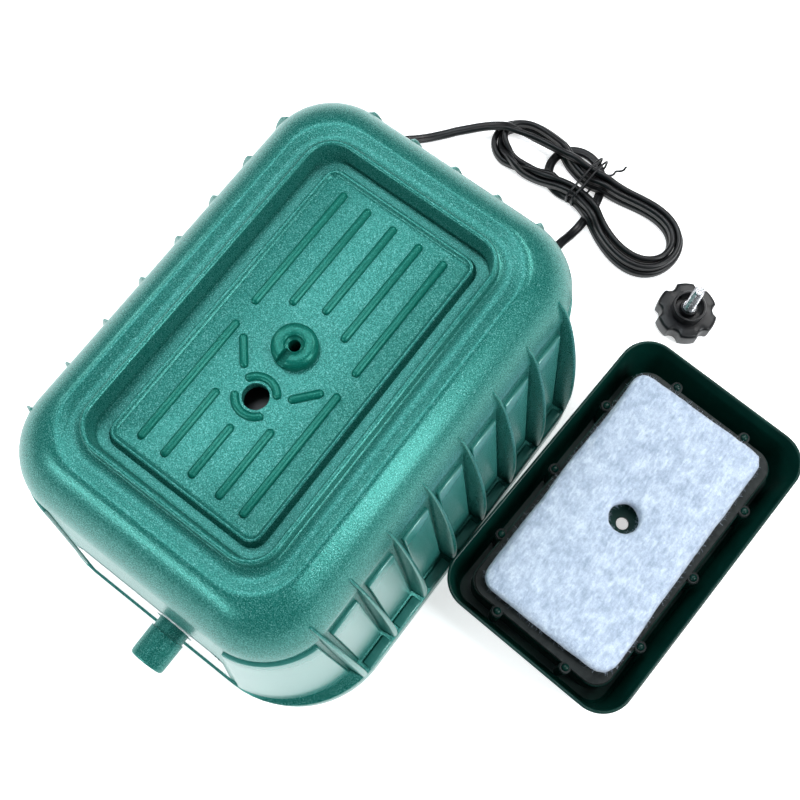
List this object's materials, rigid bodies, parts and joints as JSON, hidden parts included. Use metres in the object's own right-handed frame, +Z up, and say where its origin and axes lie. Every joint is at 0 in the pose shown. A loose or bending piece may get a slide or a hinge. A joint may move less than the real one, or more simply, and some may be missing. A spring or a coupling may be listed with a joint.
{
  "type": "linear diaphragm air pump",
  "caption": "Pond and aquarium air pump: ribbed green casting with a filter recess, outlet spigot and mains cord; dark filter cover with felt pad upside down beside it, and lobed knob.",
  "frame": {"origin": "centre of the pump footprint, on the plane its rubber feet stand on", "axes": "+Z up, -Y towards the outlet side, +Y towards the side the mains cord leaves, +X towards the side where the loose filter cover lies"},
  "size_m": [0.3372, 0.3654, 0.1625],
  "materials": {
    "hammertone_casting": "teal green hammertone enamel on an aluminium casting, glossy with a fine light mottle",
    "soft_rubber": "matt black moulded rubber",
    "screw_steel": "zinc plated steel, slightly worn",
    "label_white": "blank white film label",
    "tank_plastic": "black moulded plastic",
    "frame_alloy": "bare die cast aluminium",
    "lamination_steel": "varnished steel laminations and ferrite",
    "bobbin_plastic": "cream moulded nylon",
    "copper_wire": "enamelled copper wire, closely wound",
    "grey_plastic": "grey glass filled plastic",
    "lead_insulation": "coloured flexible insulation",
    "cord_black": "satin black flexible sheath",
    "plug_plastic": "black moulded plug",
    "cover_plastic": "very dark green gloss plastic",
    "gasket_grey": "dark grey sheet rubber",
    "felt_white": "bluish white needled felt with a fluffy edge",
    "knob_plastic": "black moulded plastic, satin gloss"
  },
  "bodies": {
    "pump": {"upper_housing": "hammertone_casting", "base_casting": "hammertone_casting", "base_gasket": "soft_rubber", "rubber_feet": "soft_rubber", "base_screws": "screw_steel", "side_label": "label_white", "outlet_spigot": "hammertone_casting", "outlet_hose": "soft_rubber", "air_tank": "tank_plastic", "tank_screws": "screw_steel", "front_head_hose": "soft_rubber", "rear_head_hose": "soft_rubber", "motor_frame": "frame_alloy", "rubber_isolators": "soft_rubber", "isolator_screws": "screw_steel", "left_stator_core": "lamination_steel", "right_stator_core": "lamination_steel", "left_bobbin": "bobbin_plastic", "right_bobbin": "bobbin_plastic", "left_winding": "copper_wire", "right_winding": "copper_wire", "front_diaphragm": "soft_rubber", "rear_diaphragm": "soft_rubber", "front_chamber": "grey_plastic", "rear_chamber": "grey_plastic", "front_valve_plate": "grey_plastic", "rear_valve_plate": "grey_plastic", "head_gaskets": "soft_rubber", "front_head_cover": "tank_plastic", "rear_head_cover": "tank_plastic", "head_screws": "screw_steel", "terminal_block": "bobbin_plastic", "coil_leads": "lead_insulation", "cord_inner_end": "cord_black", "cord_grip": "cord_black", "cord_tube_near_pump": "cord_black", "cord_hank": "cord_black", "cord_tie": "cord_black", "cord_tube_to_plug": "cord_black", "plug_body": "plug_plastic", "plug_pins": "screw_steel"},
    "armature": {"armature_shaft": "screw_steel", "magnet_carrier": "bobbin_plastic", "drive_magnets": "lamination_steel", "diaphragm_plates": "grey_plastic", "shaft_nuts": "screw_steel"},
    "front_intake_valve": {"front_intake_flap": "soft_rubber"},
    "front_exhaust_valve": {"front_exhaust_flap": "soft_rubber"},
    "rear_intake_valve": {"rear_intake_flap": "soft_rubber"},
    "rear_exhaust_valve": {"rear_exhaust_flap": "soft_rubber"},
    "cover": {"filter_cover": "cover_plastic", "filter_gasket": "gasket_grey"},
    "pad": {"filter_pad": "felt_white"},
    "knob": {"knob_grip": "knob_plastic", "knob_stud": "screw_steel"}
  },
  "joints": [
    {"name": "armature_slide", "type": "slide", "parent": "pump", "child": "armature", "axis": [0, 1, 0], "range_m": [-0.0015, 0.0015], "stiffness_N_per_m": 4000, "deforming": ["front_diaphragm", "rear_diaphragm"]},
    {"name": "front_intake_flap_hinge", "type": "hinge", "parent": "pump", "child": "front_intake_valve", "pos_m": [0, -0.05935, 0.062], "axis": [1, 0, 0], "range_deg": [0, 15], "stiffness_Nm_per_rad": 0.00002},
    {"name": "front_exhaust_flap_hinge", "type": "hinge", "parent": "pump", "child": "front_exhaust_valve", "pos_m": [0, -0.06365, 0.078], "axis": [1, 0, 0], "range_deg": [0, 15], "stiffness_Nm_per_rad": 0.00002},
    {"name": "rear_intake_flap_hinge", "type": "hinge", "parent": "pump", "child": "rear_intake_valve", "pos_m": [0, 0.05935, 0.062], "axis": [-1, 0, 0], "range_deg": [0, 15], "stiffness_Nm_per_rad": 0.00002},
    {"name": "rear_exhaust_flap_hinge", "type": "hinge", "parent": "pump", "child": "rear_exhaust_valve", "pos_m": [0, 0.06365, 0.078], "axis": [-1, 0, 0], "range_deg": [0, 15], "stiffness_Nm_per_rad": 0.00002},
    {"name": "cover_lift", "type": "slide", "parent": "pump", "child": "cover", "axis": [0, 0, 1], "range_m": [0, 0.14]},
    {"name": "pad_lift", "type": "slide", "parent": "cover", "child": "pad", "axis": [0, 0, 1], "range_m": [0, 0.06]},
    {"name": "knob_turn", "type": "hinge", "parent": "pump", "child": "knob", "pos_m": [0.116, 0.1752, 0.01], "axis": [0, 0, 1], "continuous": true}
  ]
}
